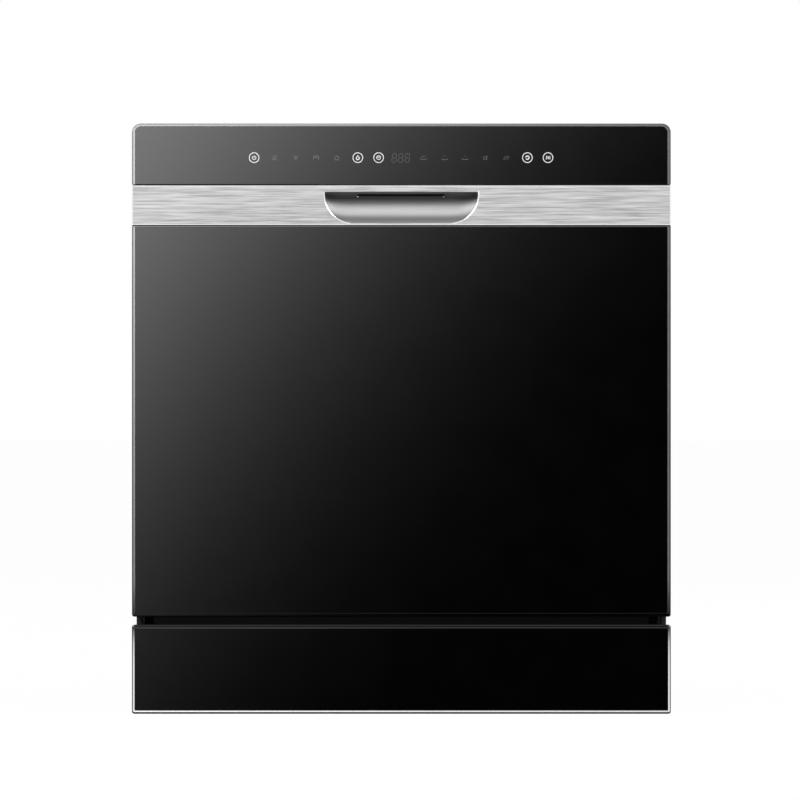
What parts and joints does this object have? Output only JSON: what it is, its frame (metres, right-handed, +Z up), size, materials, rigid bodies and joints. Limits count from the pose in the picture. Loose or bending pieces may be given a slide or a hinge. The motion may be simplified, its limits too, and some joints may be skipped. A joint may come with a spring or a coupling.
{
  "type": "countertop dishwasher",
  "caption": "Compact dishwasher with a gloss black drop-down door, steel handle strip with finger pocket, spring-balanced hinge, telescopic upper rack and wheeled lower rack.",
  "frame": {"origin": "centre of the footprint of the whole machine, on the surface that its feet stand on", "axes": "+X to the user's right, -Y out of the door, +Z up; modelled with the door closed and the racks in"},
  "size_m": [0.546, 0.5, 0.598],
  "materials": {
    "door_glass_black": "gloss",
    "touch_glass_black": "gloss",
    "plinth_black": "gloss",
    "frame_black": "satin",
    "trim_bright": "satin",
    "strip_steel": "satin",
    "pocket_grey": "satin",
    "tub_steel": "satin",
    "cabinet_black": "satin",
    "base_black": "matte",
    "zinc_steel": "satin",
    "spring_steel": "satin",
    "rear_steel": "satin",
    "rack_wire": "satin",
    "floor_grey": "satin",
    "blue_grey": "satin",
    "pale_plastic": "satin",
    "dark_plastic": "matte",
    "seal_rubber": "matte",
    "pump_metal": "satin",
    "board_green": "satin",
    "cap_blue": "satin"
  },
  "bodies": {
    "cabinet": {"base_tray": "base_black", "plinth_panel": "plinth_black", "side_panel_left": "cabinet_black", "side_panel_right": "cabinet_black", "top_panel": "cabinet_black", "rear_panel": "rear_steel", "tub_wrapper": "tub_steel", "tub_back": "tub_steel", "tub_floor": "floor_grey", "door_seal": "seal_rubber", "sump": "dark_plastic", "circulation_pump": "pump_metal", "drain_pump": "dark_plastic", "water_softener": "pale_plastic", "air_break_box": "pale_plastic", "inlet_valve": "blue_grey", "drain_outlet": "dark_plastic", "cord_gland": "dark_plastic", "power_board": "board_green", "hinge_brackets": "zinc_steel", "hinge_springs": "spring_steel", "latch_strike": "zinc_steel", "spray_feed": "floor_grey", "lower_arm_hub": "blue_grey", "fine_filter": "tub_steel", "outer_rails": "zinc_steel"},
    "door": {"door_frame": "frame_black", "door_glass": "door_glass_black", "control_glass": "touch_glass_black", "edge_trim": "trim_bright", "handle_strip": "strip_steel", "handle_pocket": "pocket_grey", "door_liner": "tub_steel", "dispenser": "blue_grey", "hinge_arms": "zinc_steel"},
    "upper_rack": {"upper_rack_basket": "rack_wire", "inner_rails": "zinc_steel", "upper_arm_duct": "floor_grey"},
    "lower_rack": {"lower_rack_basket": "rack_wire", "wheel_carriers": "blue_grey", "tine_clips": "blue_grey", "cutlery_basket": "blue_grey"},
    "foot_front_left": {"foot_front_left": "dark_plastic"},
    "foot_front_right": {"foot_front_right": "dark_plastic"},
    "foot_rear_left": {"foot_rear_left": "dark_plastic"},
    "foot_rear_right": {"foot_rear_right": "dark_plastic"},
    "salt_cap": {"salt_cap": "pale_plastic"},
    "coarse_filter": {"coarse_filter": "blue_grey"},
    "lower_spray_arm": {"lower_spray_arm": "floor_grey"},
    "middle_rails": {"middle_rails": "zinc_steel"},
    "upper_spray_arm": {"upper_spray_arm": "floor_grey"},
    "cup_shelf_left": {"cup_shelf_left": "blue_grey"},
    "cup_shelf_right": {"cup_shelf_right": "blue_grey"},
    "front_wheels": {"front_wheels": "blue_grey"},
    "rear_wheels": {"rear_wheels": "blue_grey"},
    "fold_tines_front": {"fold_tines_front": "rack_wire"},
    "fold_tines_rear": {"fold_tines_rear": "rack_wire"},
    "latch_lever": {"latch_lever": "dark_plastic"},
    "dispenser_lid": {"dispenser_lid": "pale_plastic"},
    "rinse_cap": {"rinse_cap": "cap_blue"}
  },
  "joints": [
    {"name": "door_hinge", "type": "hinge", "parent": "cabinet", "child": "door", "pos_m": [0, -0.238, 0.108], "axis": [1, 0, 0], "range_deg": [0, 90], "stiffness_Nm_per_rad": 9, "deforming": ["hinge_springs"]},
    {"name": "upper_rack_slide", "type": "slide", "parent": "cabinet", "child": "upper_rack", "axis": [0, -1, 0], "range_m": [0, 0.3]},
    {"name": "middle_rail_slide", "type": "slide", "parent": "cabinet", "child": "middle_rails", "axis": [0, -1, 0], "range_m": [0, 0.15]},
    {"name": "lower_rack_slide", "type": "slide", "parent": "cabinet", "child": "lower_rack", "axis": [0, -1, 0], "range_m": [0, 0.118]},
    {"name": "front_wheel_spin", "type": "hinge", "parent": "lower_rack", "child": "front_wheels", "pos_m": [0, -0.05571, 0.1563], "axis": [1, 0, 0], "continuous": true},
    {"name": "rear_wheel_spin", "type": "hinge", "parent": "lower_rack", "child": "rear_wheels", "pos_m": [0, 0.13514, 0.1563], "axis": [1, 0, 0], "continuous": true},
    {"name": "lower_arm_spin", "type": "hinge", "parent": "cabinet", "child": "lower_spray_arm", "pos_m": [0, -0.00915, 0.142], "axis": [0, 0, 1], "continuous": true},
    {"name": "upper_arm_spin", "type": "hinge", "parent": "upper_rack", "child": "upper_spray_arm", "pos_m": [0, -0.00915, 0.401], "axis": [0, 0, 1], "continuous": true},
    {"name": "right_shelf_fold", "type": "hinge", "parent": "upper_rack", "child": "cup_shelf_right", "pos_m": [0.21555, 0, 0.485], "axis": [0, 1, 0], "range_deg": [0, 88]},
    {"name": "left_shelf_fold", "type": "hinge", "parent": "upper_rack", "child": "cup_shelf_left", "pos_m": [-0.21555, 0, 0.485], "axis": [0, -1, 0], "range_deg": [0, 88]},
    {"name": "front_tines_fold", "type": "hinge", "parent": "lower_rack", "child": "fold_tines_front", "pos_m": [-0.085, -0.05571, 0.1886], "axis": [-1, 0, 0], "range_deg": [0, 90]},
    {"name": "rear_tines_fold", "type": "hinge", "parent": "lower_rack", "child": "fold_tines_rear", "pos_m": [-0.085, 0.03971, 0.1886], "axis": [-1, 0, 0], "range_deg": [0, 90]},
    {"name": "latch_paddle", "type": "hinge", "parent": "door", "child": "latch_lever", "pos_m": [0, -0.2372, 0.541], "axis": [1, 0, 0], "range_deg": [0, 8], "stiffness_Nm_per_rad": 0.6, "springref_deg": -11.46},
    {"name": "dispenser_lid_slide", "type": "slide", "parent": "door", "child": "dispenser_lid", "axis": [0, 0, 1], "range_m": [0, 0.054]},
    {"name": "rinse_cap_twist", "type": "hinge", "parent": "door", "child": "rinse_cap", "pos_m": [-0.044, -0.205, 0.343], "axis": [0, 1, 0], "range_deg": [0, 90]},
    {"name": "salt_cap_twist", "type": "hinge", "parent": "cabinet", "child": "salt_cap", "pos_m": [-0.136, -0.04315, 0.126], "axis": [0, 0, 1], "range_deg": [0, 90]},
    {"name": "coarse_filter_twist", "type": "hinge", "parent": "cabinet", "child": "coarse_filter", "pos_m": [0.112, -0.04315, 0.126], "axis": [0, 0, 1], "range_deg": [0, 90]},
    {"name": "front_left_foot_level", "type": "slide", "parent": "cabinet", "child": "foot_front_left", "axis": [0, 0, -1], "range_m": [0, 0.008]},
    {"name": "front_right_foot_level", "type": "slide", "parent": "cabinet", "child": "foot_front_right", "axis": [0, 0, -1], "range_m": [0, 0.008]},
    {"name": "rear_left_foot_level", "type": "slide", "parent": "cabinet", "child": "foot_rear_left", "axis": [0, 0, -1], "range_m": [0, 0.008]},
    {"name": "rear_right_foot_level", "type": "slide", "parent": "cabinet", "child": "foot_rear_right", "axis": [0, 0, -1], "range_m": [0, 0.008]}
  ],
  "couplings": [
    {"joint": "upper_rack_slide", "follows": "door_hinge", "m_per_rad": 0.19},
    {"joint": "middle_rail_slide", "follows": "door_hinge", "m_per_rad": 0.095},
    {"joint": "lower_rack_slide", "follows": "door_hinge", "m_per_rad": 0.075},
    {"joint": "front_wheel_spin", "follows": "door_hinge", "ratio": 5},
    {"joint": "rear_wheel_spin", "follows": "door_hinge", "ratio": 5}
  ]
}
